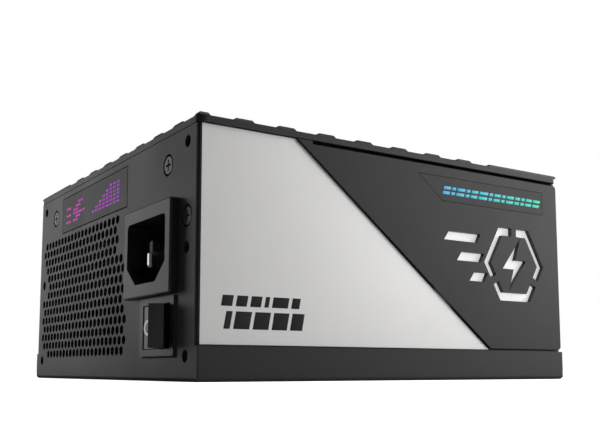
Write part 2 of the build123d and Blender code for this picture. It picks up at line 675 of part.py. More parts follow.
def toroid(x, y, z, outer, inner, thick, upright=True):
    """A ring standing on the board with its hole along Y, or lying flat."""
    axes = Plane(origin=(x, y - thick / 2, z + outer), x_dir=(1, 0, 0), z_dir=(0, 1, 0))
    if not upright:
        axes = Plane(origin=(x, y, z))
    with BuildSketch(axes) as ring:
        Circle(outer)
        Circle(inner, mode=Mode.SUBTRACT)
    extrude(ring.sketch, amount=thick)


LINE_CHOKES = ((-44.0, -33.0), (-20.0, -33.0))
with BuildPart() as line_choke_cores:
    for x, y in LINE_CHOKES:
        toroid(x, y, DECK + 1.5, 9.5, 5.5, 8.0)
save(line_choke_cores, "line_choke_cores")

with BuildPart() as line_choke_windings:
    for x, y in LINE_CHOKES:
        for side in (-1, 1):
            coil_plane = Plane(origin=(x, y - 5.4, DECK + 11.0), x_dir=(1, 0, 0), z_dir=(0, 1, 0))
            with BuildSketch(coil_plane) as coil:
                Circle(11.0)
                Circle(4.1, mode=Mode.SUBTRACT)
                with Locations((-side * 20.0 + side * 2.4, 0)):
                    Rectangle(40.0, 30.0, mode=Mode.SUBTRACT)
            extrude(coil.sketch, amount=10.8)
        core_plane = Plane(origin=(x, y - 4.0, DECK + 11.0), x_dir=(1, 0, 0), z_dir=(0, 1, 0))
        with BuildSketch(core_plane) as core:
            Circle(9.5)
            Circle(5.5, mode=Mode.SUBTRACT)
        extrude(core.sketch, amount=8.0, mode=Mode.SUBTRACT)
save(line_choke_windings, "line_choke_windings")

with BuildPart() as film_capacitors:
    block(-4.0, 14.0, -42.0, -33.0, DECK, DECK + 15)
    block(-4.0, 14.0, -31.0, -23.0, DECK, DECK + 13)
    fillet(film_capacitors.edges().filter_by(Axis.Z), 0.8)
save(film_capacitors, "film_capacitors")

with BuildPart() as mains_fuse:
    with BuildSketch(Plane(origin=(-32.0, -22.0, DECK + 3.0), x_dir=(1, 0, 0), z_dir=(0, 1, 0))):
        Circle(2.8)
    extrude(amount=18.0)
save(mains_fuse, "mains_fuse")

with BuildPart() as bridge_rectifier:
    block(22.0, 44.0, -24.0, -20.4, DECK, DECK + 17)
save(bridge_rectifier, "bridge_rectifier")

with BuildPart() as primary_heatsink:
    block(20.0, 56.0, -20.4, -17.4, DECK, DECK + 32)
    for fin in range(6):
        x = 21.0 + fin * 6.6
        block(x, x + 1.2, -17.4, -11.0, DECK + 12, DECK + 32)
save(primary_heatsink, "primary_heatsink")

with BuildPart() as power_transistors:
    for x in (22.0, 33.0, 44.0):
        block(x, x + 10, -17.4, -13.0, DECK, DECK + 11.5)
save(power_transistors, "power_transistors")

with BuildPart() as boost_choke:
    block(-56.0, -38.0, -21.0, 5.0, DECK, DECK + 26)
    fillet(boost_choke.edges().filter_by(Axis.Z), 1.0)
save(boost_choke, "boost_choke")

with BuildPart() as bulk_capacitors:
    with BuildSketch(Plane.XY.offset(DECK)):
        with Locations((-18.0, 13.0)):
            Circle(15.0)
        with Locations((14.0, 5.0)):
            Circle(12.0)
    extrude(amount=34.0)
    fillet(bulk_capacitors.edges().group_by(Axis.Z)[-1], 1.2)
save(bulk_capacitors, "bulk_capacitors")

with BuildPart() as transformer_core:
    block(30.0, 56.0, -6.0, 22.0, DECK + 2, DECK + 30)
    block(34.5, 51.5, -7.0, 23.0, DECK + 7, DECK + 25, mode=Mode.SUBTRACT)
save(transformer_core, "transformer_core")

with BuildPart() as transformer_winding:
    block(34.6, 51.4, -9.0, 25.0, DECK + 7.1, DECK + 24.9)
    block(34.6, 51.4, -9.0, 25.0, DECK, DECK + 2)
    fillet(transformer_winding.edges().filter_by(Axis.Y), 0.8)
save(transformer_winding, "transformer_winding")

with BuildPart() as resonant_choke:
    block(-56.0, -39.0, 10.0, 28.0, DECK, DECK + 22)
    fillet(resonant_choke.edges().filter_by(Axis.Z), 2.0)
save(resonant_choke, "resonant_choke")

with BuildPart() as standby_transformer:
    block(-56.0, -40.0, 30.0, 42.5, DECK, DECK + 16)
save(standby_transformer, "standby_transformer")

with BuildPart() as secondary_heatsink:
    block(-34.0, 24.0, 30.0, 32.5, DECK, DECK + 33)
    for fin in range(9):
        x = -33.0 + fin * 6.9
        block(x, x + 1.2, 32.5, 36.5, DECK + 14, DECK + 33)
save(secondary_heatsink, "secondary_heatsink")

with BuildPart() as output_capacitors:
    with BuildSketch(Plane.XY.offset(DECK)):
        with Locations((-6.0, 43.5)):
            with GridLocations(9.4, 0, 7, 1):
                Circle(4.0)
    extrude(amount=13.0)
    fillet(output_capacitors.edges().group_by(Axis.Z)[-1], 0.6)
save(output_capacitors, "output_capacitors")

with BuildPart() as output_choke:
    toroid(38.0, 38.0, DECK, 10.0, 4.5, 10.0, upright=False)
save(output_choke, "output_choke")
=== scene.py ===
import json
import math
import bpy
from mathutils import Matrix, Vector


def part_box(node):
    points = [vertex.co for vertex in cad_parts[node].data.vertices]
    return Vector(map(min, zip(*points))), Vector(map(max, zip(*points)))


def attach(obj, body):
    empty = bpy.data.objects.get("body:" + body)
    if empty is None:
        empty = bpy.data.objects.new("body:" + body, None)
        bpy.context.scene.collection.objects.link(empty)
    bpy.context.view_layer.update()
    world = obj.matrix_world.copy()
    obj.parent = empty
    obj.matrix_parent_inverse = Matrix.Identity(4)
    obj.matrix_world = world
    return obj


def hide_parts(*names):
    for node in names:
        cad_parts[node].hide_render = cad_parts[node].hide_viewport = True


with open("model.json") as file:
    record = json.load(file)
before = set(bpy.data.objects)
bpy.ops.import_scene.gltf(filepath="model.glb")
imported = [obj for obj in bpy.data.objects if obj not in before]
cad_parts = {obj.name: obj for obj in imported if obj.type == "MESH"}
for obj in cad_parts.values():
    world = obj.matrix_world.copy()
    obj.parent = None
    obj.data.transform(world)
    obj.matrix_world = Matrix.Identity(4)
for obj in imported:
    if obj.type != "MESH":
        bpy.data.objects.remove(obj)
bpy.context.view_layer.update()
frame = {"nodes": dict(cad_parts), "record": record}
NODES = frame["nodes"]
RECORD = frame["record"]
MM = 0.001
CASING = "casing"
FAN = "fan"
ROCKER = "switch_rocker"

# ---------------------------------------------------------------- camera
FOCAL_RATIO = 844.3 / 600      # focal length over the frame's width
SENSOR = 36.0
CAMERA_AT = Vector((0.2368, -0.1486, 0.0029))
CAMERA_TURN = 56.73            # round the object from -Y towards +X, in degrees
CAMERA_LIFT = 6.424            # the lens looks up by this much
CAMERA_SHIFT = 0.09


def make_camera():
    data = bpy.data.cameras.new("camera")
    data.sensor_width = SENSOR
    data.lens = FOCAL_RATIO * SENSOR
    data.shift_y = CAMERA_SHIFT
    data.clip_start = 0.01
    camera = bpy.data.objects.new("camera", data)
    bpy.context.scene.collection.objects.link(camera)
    camera.location = CAMERA_AT
    camera.rotation_mode = "YXZ"
    camera.rotation_euler = (math.radians(90 + CAMERA_LIFT), 0, math.radians(CAMERA_TURN))
    camera.rotation_mode = "XYZ"
    bpy.context.scene.camera = camera


# ---------------------------------------------------------------- shader groups
def new_group(name, inputs, outputs):
    """A shader group with float, colour or vector sockets, and its two end nodes."""
    group = bpy.data.node_groups.new(name, "ShaderNodeTree")
    for label, kind, value in inputs:
        item = group.interface.new_socket(label, in_out="INPUT", socket_type=kind)
        item.default_value = value
    for label, kind in outputs:
        group.interface.new_socket(label, in_out="OUTPUT", socket_type=kind)
    start = group.nodes.new("NodeGroupInput")
    end = group.nodes.new("NodeGroupOutput")
    return group, start, end


def math_node(tree, operation, first, second):
    """first and second are sockets or numbers; returns the result's socket."""
    node = tree.nodes.new("ShaderNodeMath")
    node.operation = operation
    for place, value in enumerate((first, second)):
        if isinstance(value, (int, float)):
            node.inputs[place].default_value = value
        else:
            tree.links.new(value, node.inputs[place])
    return node.outputs[0]


def noise_node(tree, scale, detail=3.0, vector=None):
    node = tree.nodes.new("ShaderNodeTexNoise")
    node.inputs["Detail"].default_value = detail
    if isinstance(scale, (int, float)):
        node.inputs["Scale"].default_value = scale
    else:
        tree.links.new(scale, node.inputs["Scale"])
    if vector is None:
        vector = tree.nodes.new("ShaderNodeTexCoord").outputs["Object"]
    tree.links.new(vector, node.inputs["Vector"])
    return node.outputs["Fac"]


def mix_colours(tree, factor, first, second):
    node = tree.nodes.new("ShaderNodeMix")
    node.data_type = "RGBA"
    for socket, value in ((node.inputs[0], factor), (node.inputs[6], first), (node.inputs[7], second)):
        if isinstance(value, (int, float, tuple)):
            socket.default_value = value
        else:
            tree.links.new(value, socket)
    return node.outputs[2]


def make_finish_group():
    """Two close shades in soft patches, roughness that drifts, and a fine grain height."""
    group, start, end = new_group(
        "surface_finish",
        [("Color", "NodeSocketColor", (0.1, 0.1, 0.1, 1)),
         ("Shade", "NodeSocketColor", (0.08, 0.08, 0.08, 1)),
         ("Grain Scale", "NodeSocketFloat", 2500.0), ("Patch Scale", "NodeSocketFloat", 45.0),
         ("Roughness", "NodeSocketFloat", 0.45), ("Spread", "NodeSocketFloat", 0.12)],
        [("Color", "NodeSocketColor"), ("Roughness", "NodeSocketFloat"), ("Height", "NodeSocketFloat")])
    patches = noise_node(group, start.outputs["Patch Scale"], 4.0)
    grain = noise_node(group, start.outputs["Grain Scale"], 2.0)
    speckle = math_node(group, "MULTIPLY", math_node(group, "SUBTRACT", grain, 0.5), 0.7)
    factor = math_node(group, "ADD", patches, speckle)
    colour = mix_colours(group, factor, start.outputs["Color"], start.outputs["Shade"])
    group.links.new(colour, end.inputs["Color"])
    drift = math_node(group, "MULTIPLY", math_node(group, "SUBTRACT", patches, 0.5), start.outputs["Spread"])
    group.links.new(math_node(group, "ADD", start.outputs["Roughness"], drift), end.inputs["Roughness"])
    group.links.new(grain, end.inputs["Height"])
    return group


def make_dust_group():
    """A pale film in patches on faces that look up."""
    group, start, end = new_group(
        "settled_dust",
        [("Color", "NodeSocketColor", (0.1, 0.1, 0.1, 1)), ("Amount", "NodeSocketFloat", 0.1)],
        [("Color", "NodeSocketColor")])
    split = group.nodes.new("ShaderNodeSeparateXYZ")
    group.links.new(group.nodes.new("ShaderNodeNewGeometry").outputs["Normal"], split.inputs[0])
    upward = math_node(group, "MAXIMUM", split.outputs["Z"], 0.0)
    cover = math_node(group, "MULTIPLY", upward, noise_node(group, 160.0, 6.0))
    amount = math_node(group, "MULTIPLY", cover, start.outputs["Amount"])
    colour = mix_colours(group, amount, start.outputs["Color"], (0.42, 0.41, 0.39, 1))
    group.links.new(colour, end.inputs["Color"])
    return group


FINISH = make_finish_group()
DUST = make_dust_group()


def grey(value, warm=0.0):
    return (value * (1 + warm), value, value * (1 - warm), 1.0)


def start_material(name):
    material = bpy.data.materials.new(name)
    material.use_nodes = True
    return material, material.node_tree, material.node_tree.nodes["Principled BSDF"]


def add_group(tree, group, **values):
    node = tree.nodes.new("ShaderNodeGroup")
    node.node_tree = group
    for label, value in values.items():
        node.inputs[label.replace("_", " ")].default_value = value
    return node


def bump(tree, height, shader, strength, distance):
    node = tree.nodes.new("ShaderNodeBump")
    node.inputs["Strength"].default_value = strength
    node.inputs["Distance"].default_value = distance
    tree.links.new(height, node.inputs["Height"])
    tree.links.new(node.outputs[0], shader.inputs["Normal"])


def solid_material(name, colour, shade, roughness, grain=2500.0, patch=45.0, spread=0.12, relief=0.25,
                   depth=0.02, metallic=0.0, coat=0.0, specular=0.5, dust=0.0, glow=0.0):
    """One finish: colour drift, roughness drift and grain, with dust where asked and a painted glow
    (emission on a surface that is no lamp) where asked.
    """
    material, tree, shader = start_material(name)
    finish = add_group(tree, FINISH, Color=colour, Shade=shade, Grain_Scale=grain, Patch_Scale=patch,
                       Roughness=roughness, Spread=spread)
    colour_out = finish.outputs["Color"]
    if dust:
        film = add_group(tree, DUST, Amount=dust)
        tree.links.new(colour_out, film.inputs["Color"])
        colour_out = film.outputs["Color"]
    tree.links.new(colour_out, shader.inputs["Base Color"])
    tree.links.new(finish.outputs["Roughness"], shader.inputs["Roughness"])
    bump(tree, finish.outputs["Height"], shader, relief, depth * MM)
    shader.inputs["Metallic"].default_value = metallic
    shader.inputs["Coat Weight"].default_value = coat
    shader.inputs["Coat Roughness"].default_value = 0.2
    shader.inputs["Specular IOR Level"].default_value = specular
    shader.inputs["Emission Color"].default_value = colour
    shader.inputs["Emission Strength"].default_value = glow
    return material


def glow_material(name, axis, low, high, first, last, strength):
    """Lit dots whose colour runs from first to last along one axis, a little uneven."""
    material, tree, shader = start_material(name)
    split = tree.nodes.new("ShaderNodeSeparateXYZ")
    tree.links.new(tree.nodes.new("ShaderNodeTexCoord").outputs["Object"], split.inputs[0])
    span = tree.nodes.new("ShaderNodeMapRange")
    span.inputs["From Min"].default_value = low
    span.inputs["From Max"].default_value = high
    tree.links.new(split.outputs[axis], span.inputs["Value"])
    colour = mix_colours(tree, span.outputs["Result"], first, last)
    uneven = math_node(tree, "ADD", noise_node(tree, 900.0), -0.35)
    lit = mix_colours(tree, uneven, colour, grey(0.02))
    tree.links.new(lit, shader.inputs["Emission Color"])
    tree.links.new(colour, shader.inputs["Base Color"])
    shader.inputs["Emission Strength"].default_value = strength
    shader.inputs["Roughness"].default_value = 0.4
    return material


def banded_material(name, colour, shade, roughness, scale, direction, relief, metallic=0.0):
    """Close bands across one axis, for wire windings and tape."""
    material, tree, shader = start_material(name)
    wave = tree.nodes.new("ShaderNodeTexWave")
    wave.wave_type = "BANDS"
    wave.bands_direction = direction
    wave.inputs["Scale"].default_value = scale
    wave.inputs["Distortion"].default_value = 0.6
    tree.links.new(tree.nodes.new("ShaderNodeTexCoord").outputs["Object"], wave.inputs["Vector"])
    tree.links.new(mix_colours(tree, wave.outputs["Fac"], shade, colour), shader.inputs["Base Color"])
    bump(tree, wave.outputs["Fac"], shader, relief, 0.3 * MM)
    shader.inputs["Roughness"].default_value = roughness
    shader.inputs["Metallic"].default_value = metallic
    return material


def board_material(name):
    """Green solder mask with copper tracks under it and bare pads."""
    material, tree, shader = start_material(name)
    cells = tree.nodes.new("ShaderNodeTexVoronoi")
    cells.distance = "MANHATTAN"
    cells.inputs["Scale"].default_value = 260.0
    tree.links.new(tree.nodes.new("ShaderNodeTexCoord").outputs["Object"], cells.inputs["Vector"])
    tracks = math_node(tree, "GREATER_THAN", cells.outputs["Distance"], 0.42)
    masked = mix_colours(tree, tracks, (0.012, 0.07, 0.03, 1), (0.03, 0.14, 0.06, 1))
    pads = math_node(tree, "LESS_THAN", cells.outputs["Distance"], 0.09)
    tree.links.new(mix_colours(tree, pads, masked, (0.62, 0.58, 0.5, 1)), shader.inputs["Base Color"])
    tree.links.new(mix_colours(tree, pads, grey(0.35), grey(0.22)), shader.inputs["Roughness"])
    bump(tree, tracks, shader, 0.3, 0.05 * MM)
    return material


MATERIALS = {
    "dark_steel": solid_material("dark_steel", grey(0.019), grey(0.015), 0.44, grain=1900, relief=0.45,
                                 dust=0.06, specular=0.36),
    "silver_plate": solid_material("silver_plate", grey(0.79, 0.01), grey(0.74, 0.01), 0.42, grain=3800,
                                   spread=0.06, relief=0.12, metallic=0.5),
    "dark_plate": solid_material("dark_plate", grey(0.011), grey(0.009), 0.42, grain=1700, relief=0.55,
                                 specular=0.33),
    # bright_plate: the emblem backing carries a painted glow that lights it up, though it is no lamp.
    "bright_plate": solid_material("bright_plate", grey(0.95), grey(0.9), 0.5, grain=3000, glow=0.55),
    "window": solid_material("window", grey(0.018), grey(0.015), 0.48, patch=90, relief=0.08, specular=0.35),
    "light_board": solid_material("light_board", grey(0.03), grey(0.02), 0.6),
    "label": solid_material("label", grey(0.075), grey(0.06), 0.55, grain=5000, relief=0.1),
    "screw": solid_material("screw", grey(0.075), grey(0.045), 0.34, metallic=0.7, patch=700, spread=0.25),
    "black_plastic": solid_material("black_plastic", grey(0.006), grey(0.004), 0.4, grain=4200, relief=0.3,
                                    specular=0.55),
    "contact": solid_material("contact", grey(0.78, 0.03), grey(0.66, 0.03), 0.24, metallic=1.0, patch=400),
    "rocker_plastic": solid_material("rocker_plastic", grey(0.012), grey(0.008), 0.33, grain=4200,
                                     relief=0.15, specular=0.8),
    "fan_plastic": solid_material("fan_plastic", grey(0.045), grey(0.036), 0.3, patch=60, coat=0.15,
                                  dust=0.25),
    "brass": solid_material("brass", (0.7, 0.5, 0.22, 1), (0.55, 0.38, 0.16, 1), 0.3, metallic=1.0),
    "copper": banded_material("copper", (0.78, 0.3, 0.12, 1), (0.35, 0.1, 0.04, 1), 0.3, 320, "Z", 0.8, 0.8),
    "circuit_board": board_material("circuit_board"),
    "insulator": solid_material("insulator", grey(0.42, 0.05), grey(0.36, 0.05), 0.35),
    "ferrite": solid_material("ferrite", grey(0.055), grey(0.035), 0.62, grain=1500, relief=0.5),
    "yellow_plastic": solid_material("yellow_plastic", (0.7, 0.48, 0.06, 1), (0.6, 0.4, 0.05, 1), 0.35),
    "ceramic": solid_material("ceramic", grey(0.74, 0.03), grey(0.66, 0.03), 0.3),
    "epoxy": solid_material("epoxy", grey(0.03), grey(0.02), 0.5, grain=1800, relief=0.4),
    "heatsink": solid_material("heatsink", grey(0.66), grey(0.55), 0.38, metallic=0.9, patch=300),
    "can_sleeve": solid_material("can_sleeve", (0.03, 0.035, 0.07, 1), (0.02, 0.025, 0.05, 1), 0.28,
                                 coat=0.3),
    "tape": banded_material("tape", (0.78, 0.55, 0.08, 1), (0.6, 0.4, 0.05, 1), 0.3, 40, "Z", 0.3),
    # Dark ink for the printed bars on the silver plate, also used for the strips of painted shade in gaps
    # and recesses.
    "print_and_painted_shade_ink": solid_material("print_and_painted_shade_ink", grey(0.03), grey(0.024), 0.75, specular=0.15),
    # Printed marks; their glow is painted light, the ink is no lamp.
    "mark_ink_painted_glow": solid_material("mark_ink_painted_glow", grey(0.9), grey(0.8), 0.5, glow=0.25),
    "rear_glow": glow_material("rear_glow", "X", -0.035, 0.014, (0.58, 0.0, 0.36, 1), (0.25, 0.0, 0.46, 1),
                               0.8),
    "side_glow": glow_material("side_glow", "Y", 0.013, 0.053, (0.03, 0.32, 0.58, 1), (0.0, 0.5, 0.35, 1),
                               0.75),
}


def paint(piece, material):
    piece.data.materials.clear()
    piece.data.materials.append(MATERIALS[material])


for entry in RECORD["subparts"]:
    node = NODES[entry["node"]]
    for place in range(len(node.material_slots)):
        node.material_slots[place].material = MATERIALS[entry["material_slot"]]

# ---------------------------------------------------------------- modelling helpers


def deselect():
    if bpy.context.object and bpy.context.object.mode == "EDIT":
        bpy.ops.object.mode_set(mode="OBJECT")
    bpy.ops.object.select_all(action="DESELECT")


def settle(piece):
    """Puts the piece's place, turn and size into its mesh."""
    deselect()
    piece.select_set(True)
    bpy.context.view_layer.objects.active = piece
    bpy.ops.object.transform_apply(location=True, rotation=True, scale=True)


def bevel(piece, width, segments=2):
    modifier = piece.modifiers.new("bevel", "BEVEL")
    modifier.width = width * MM
    modifier.segments = segments
    modifier.limit_method = "ANGLE"
    bpy.context.view_layer.objects.active = piece
    bpy.ops.object.modifier_apply(modifier=modifier.name)


def slab(low, high, edge=0.05, slant=0.0):
    """A box between two corners in millimetres with rounded edges; slant leans its top along +Y."""
    deselect()
    centre = [(a + b) / 2 * MM for a, b in zip(low, high)]
    size = [(b - a) * MM for a, b in zip(low, high)]
    bpy.ops.mesh.primitive_cube_add(size=1, location=centre, scale=size)
    piece = bpy.context.object
    settle(piece)
    for vertex in piece.data.vertices:
        if vertex.co.z > centre[2]:
            vertex.co.y += slant * MM
    bevel(piece, edge)
    return piece


def disc(centre, radius, depth, axis="Y", sides=20, edge=0.04):
    """A short cylinder along one axis, in millimetres, with a rounded rim."""
    deselect()
    turn = {"X": (0, math.pi / 2, 0), "Y": (math.pi / 2, 0, 0), "Z": (0, 0, 0)}[axis]
    place = [value * MM for value in centre]
    bpy.ops.mesh.primitive_cylinder_add(vertices=sides, radius=radius * MM, depth=depth * MM, location=place,
                                        rotation=turn)
    piece = bpy.context.object
    settle(piece)
    bevel(piece, edge)
    return piece


def join(name, pieces, material, body=CASING):
    """Makes one piece of several, names it, paints it and lets it ride."""
    deselect()
    for piece in pieces:
        piece.select_set(True)
    bpy.context.view_layer.objects.active = pieces[0]
    if len(pieces) > 1:
        bpy.ops.object.join()
    piece = bpy.context.object
    piece.name = name
    piece.data.name = name
    paint(piece, material)
    deselect()
    piece.select_set(True)
    bpy.ops.object.shade_smooth_by_angle(angle=math.radians(35))
    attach(piece, body)
    return piece


def span(node):
    """A node's lowest and highest corner in millimetres."""
    low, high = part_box(node)
    return [value / MM for value in low], [value / MM for value in high]


make_camera()

# ---------------------------------------------------------------- lit signs
DOT_PITCH = 1.12
BOLT_ROWS = (".....11.", "11..11..", "...11...", "11.11111", "....11..", "11.11...")
METER_HEIGHTS = (1, 1, 2, 2, 3, 3, 4, 4, 5, 5, 6, 6, 6, 6, 6, 6)
DOT_RADIUS = 0.42
DOT_DEPTH = 0.06
DOTS_BELOW_TOP = 2.9
BOLT_START = 4.2
METER_START = 28.5
METER_GAP = 0.6                # after every second column, in pitches


def rear_dot(x, face, z):
    return disc((x, face - 0.01, z), DOT_RADIUS, DOT_DEPTH, sides=12, edge=0.015)


def rear_dots():
    """A bolt and a rising meter of round dots in the rear window."""
    low, high = span("rear_light_window")
    face = low[1]
    top = high[2] - DOTS_BELOW_TOP
    dots = []
    for row, line in enumerate(BOLT_ROWS):
        for column, mark in enumerate(line):
            if mark == "1":
                for part in (0, 1):
                    x = low[0] + BOLT_START + (2 * column + part) * DOT_PITCH
                    dots.append(rear_dot(x, face, top - row * DOT_PITCH))
    for column, height in enumerate(METER_HEIGHTS):
        for step in range(height):
            x = low[0] + METER_START + (column + column // 2 * METER_GAP) * DOT_PITCH
            z = top - (5 - step) * DOT_PITCH
            dots.append(rear_dot(x, face, z))
    join("rear_light_dots", dots, "rear_glow")


DASH_LENGTHS = (2.6, 1.4, 3.0, 1.4, 2.6, 3.4, 1.4, 2.6, 1.4, 3.0, 2.0, 1.4, 2.6, 3.0)
DASH_START = 14.0
DASH_ROWS = ((52.4, 0.0), (53.85, 0.5))    # each row's height and its step along +Y
DASH_TALL = 0.85
DASH_GAP = 0.62
DASH_LEAN = 0.3


def side_bars():
    """Two rows of slanted lit dashes in the side window."""
    face = span("side_light_window")[1][0]
    dashes = []
    y = DASH_START
    for length in DASH_LENGTHS:
        for low_z, step in DASH_ROWS:
            low = (face - 0.03, y + step, low_z)
            high = (face + 0.03, y + step + length, low_z + DASH_TALL)
            dashes.append(slab(low, high, edge=0.02, slant=DASH_LEAN))
        y += length + DASH_GAP
    join("side_light_dashes", dashes, "side_glow")


# each row's start, lower and upper height, gap, lean and bar lengths
PRINT_ROWS = ((-55.9, 17.8, 20.4, 0.95, 0.5, (3.0, 3.0, 3.0, 1.2, 4.6, 2.4)),
              (-55.2, 12.4, 16.6, 0.9, 0.8, (1.7, 4.4, 4.4, 4.4, 3.6)))


def silver_print():
    """Two rows of plain printed bars low on the silver plate."""
    face = span("silver_side_plate")[1][0]
    bars = []
    for y, low_z, high_z, gap, lean, lengths in PRINT_ROWS:
        for length in lengths:
            low = (face - 0.03, y, low_z)
            high = (face + 0.02, y + length, high_z)
            bars.append(slab(low, high, edge=0.01, slant=lean))
            y += length + gap
    join("silver_plate_print", bars, "print_and_painted_shade_ink")


rear_dots()
side_bars()
silver_print()

# ---------------------------------------------------------------- rocker marks
ROCKER_TURN = math.radians(-19.0)
ROCKER_SLOPE = math.radians(19.0)
PIVOT = (40.8, -61.74, 13.5)
CREASE = 1.17


def on_rocker(piece, side):
    """Lays a mark, made flat on the rocker's middle, on its left (-1) or right (+1) half."""
    deselect()
    piece.select_set(True)
    bpy.context.view_layer.objects.active = piece
    slope = -side * ROCKER_SLOPE
    piece.rotation_euler = (0, 0, slope + ROCKER_TURN)
    crease = Vector((0, -CREASE, 0))
    turned = Vector((crease.x * math.cos(ROCKER_TURN) - crease.y * math.sin(ROCKER_TURN),
                     crease.x * math.sin(ROCKER_TURN) + crease.y * math.cos(ROCKER_TURN), 0))
    piece.location = (Vector(PIVOT) + turned) * MM
    settle(piece)
    return piece


def rocker_marks():
    """A ring on the pressed half and a bar on the raised half."""
    deselect()
    bpy.ops.mesh.primitive_torus_add(major_radius=1.75 * MM, minor_radius=0.34 * MM, major_segments=40,
                                     minor_segments=8, location=(-4.9 * MM, 0, 0),
                                     rotation=(math.pi / 2, 0, 0))
    ring = bpy.context.object
    ring.scale = (1.25, 1.0, 0.35)
    settle(ring)
    bar = slab((4.6, -0.07, -1.7), (5.0, 0.07, 1.7), edge=0.03)
    marks = [on_rocker(ring, -1), on_rocker(bar, 1)]
    join("rocker_marks", marks, "mark_ink_painted_glow", body=ROCKER)


rocker_marks()

# ---------------------------------------------------------------- output sockets
CELL_PITCH = 4.2
CELL_WALL = 0.55
CELL_FRONT = 63.6
CELL_BACK = 55.4


def socket_cells():
    """The grid of thin walls that parts each socket into one cell for each pin."""
    for opening in RECORD["physics"]["openings"]:
        if "socket" not in opening["name"]:
            continue
        low, high = ([value / MM for value in corner] for corner in opening["box_m"])
        columns = round((high[0] - low[0] + 1.4) / CELL_PITCH)
        middle_x = (low[0] + high[0]) / 2
        middle_z = (low[2] + high[2]) / 2
        low_z = low[2] - 0.2
        high_z = high[2] + 0.2
        walls = [slab((low[0] - 0.2, CELL_BACK, middle_z - CELL_WALL / 2),
                      (high[0] + 0.2, CELL_FRONT, middle_z + CELL_WALL / 2), edge=0.08)]
        for column in range(1, columns):
            x = middle_x + (column - columns / 2) * CELL_PITCH
            walls.append(slab((x - CELL_WALL / 2, CELL_BACK, low_z), (x + CELL_WALL / 2, CELL_FRONT, high_z),
                              edge=0.08))
        join(opening["name"].replace("_mouth", "_cells"), walls, "black_plastic")


socket_cells()

# ---------------------------------------------------------------- fan rotor
FAN_BLADES = 9
HUB_RADIUS = 20.0
HUB_WALL = 1.6
TIP_RADIUS = 55.8
BLADE_SPANS = 10
BLADE_CHORDS = 8
BLADE_THICK = 1.1
BLADE_CLEAR = 1.1              # from the blades' edges to the rotor's top and bottom
BLADE_ROOT = 0.8               # how far a blade reaches into the hub
TIP_SWEEP = math.radians(24)
ROOT_WIDTH = 40                # angle that a blade covers at the hub, in degrees
WIDTH_LOSS = 9
CAMBER = 0.10


def select_faces(piece, test):
    """Leaves just the faces selected whose centre and normal pass the test, in edit mode."""
    bpy.ops.object.mode_set(mode="EDIT")
    bpy.ops.mesh.select_all(action="DESELECT")
    bpy.ops.object.mode_set(mode="OBJECT")
    for face in piece.data.polygons:
        face.select = test(face.center, face.normal)
    bpy.ops.object.mode_set(mode="EDIT")
    bpy.ops.mesh.select_mode(type="FACE")


def fan_hub(low_z, high_z):
    """A cup that opens downwards, with a round shoulder and a shallow dish on top."""
    deselect()
    bpy.ops.mesh.primitive_cylinder_add(vertices=96, radius=HUB_RADIUS * MM, depth=(high_z - low_z) * MM,
                                        location=(0, 0, (low_z + high_z) / 2 * MM))
    hub = bpy.context.object
    settle(hub)
    select_faces(hub, lambda centre, normal: normal.z > 0.9)
    bpy.ops.mesh.inset(thickness=3.0 * MM, depth=0)
    bpy.ops.mesh.inset(thickness=0.4 * MM, depth=-0.4 * MM)
    select_faces(hub, lambda centre, normal: normal.z < -0.9)
    bpy.ops.mesh.inset(thickness=HUB_WALL * MM, depth=0)
    deep = (high_z - low_z - HUB_WALL) * MM
    bpy.ops.mesh.extrude_region_move(TRANSFORM_OT_translate={"value": (0, 0, deep)})
    bpy.ops.object.mode_set(mode="OBJECT")
    bevel(hub, 0.5, 3)
    return hub


def fan_blade(turn, low_z, high_z):
    """One swept blade: it leans back towards its tip and flattens as it widens."""
    deselect()
    bpy.ops.mesh.primitive_grid_add(x_subdivisions=BLADE_SPANS, y_subdivisions=BLADE_CHORDS, size=1.0)
    blade = bpy.context.object
    rise = high_z - low_z - 2 * BLADE_CLEAR
    for vertex in blade.data.vertices:
        out = vertex.co.x + 0.5
        along = vertex.co.y
        radius = HUB_RADIUS - BLADE_ROOT + out * (TIP_RADIUS - HUB_RADIUS + BLADE_ROOT)
        angle = turn + TIP_SWEEP * out ** 1.4 + along * math.radians(ROOT_WIDTH - WIDTH_LOSS * out)
        camber = CAMBER * math.cos(math.pi * along)
        height = low_z + BLADE_CLEAR + rise * (0.5 + along * (1.0 - 0.25 * out) + camber - 0.06)
        vertex.co = (radius * MM * math.cos(angle), radius * MM * math.sin(angle), height * MM)
    wall = blade.modifiers.new("wall", "SOLIDIFY")
    wall.thickness = BLADE_THICK * MM
    wall.offset = 0
    bpy.context.view_layer.objects.active = blade
    bpy.ops.object.modifier_apply(modifier="wall")
    bevel(blade, 0.25)
    bpy.ops.object.mode_set(mode="EDIT")
    bpy.ops.mesh.select_all(action="SELECT")
    bpy.ops.mesh.normals_make_consistent(inside=False)
    bpy.ops.object.mode_set(mode="OBJECT")
    return blade


def make_rotor():
    low, high = span("fan_rotor")
    pieces = [fan_hub(low[2], high[2])]
    for number in range(FAN_BLADES):
        pieces.append(fan_blade(2 * math.pi / FAN_BLADES * number, low[2], high[2]))
    rotor = join("fan_rotor_moulding", pieces, "fan_plastic", body=FAN)
    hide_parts("fan_rotor")


make_rotor()

# ---------------------------------------------------------------- blank rating plate


RULE_HALF = 0.12
RULE_MARGIN = 8
RULE_FOOT = 6
RULE_ROWS = 5
RULE_COLUMNS = (0.0, 0.22, 0.42, 0.62, 0.81, 1.0)


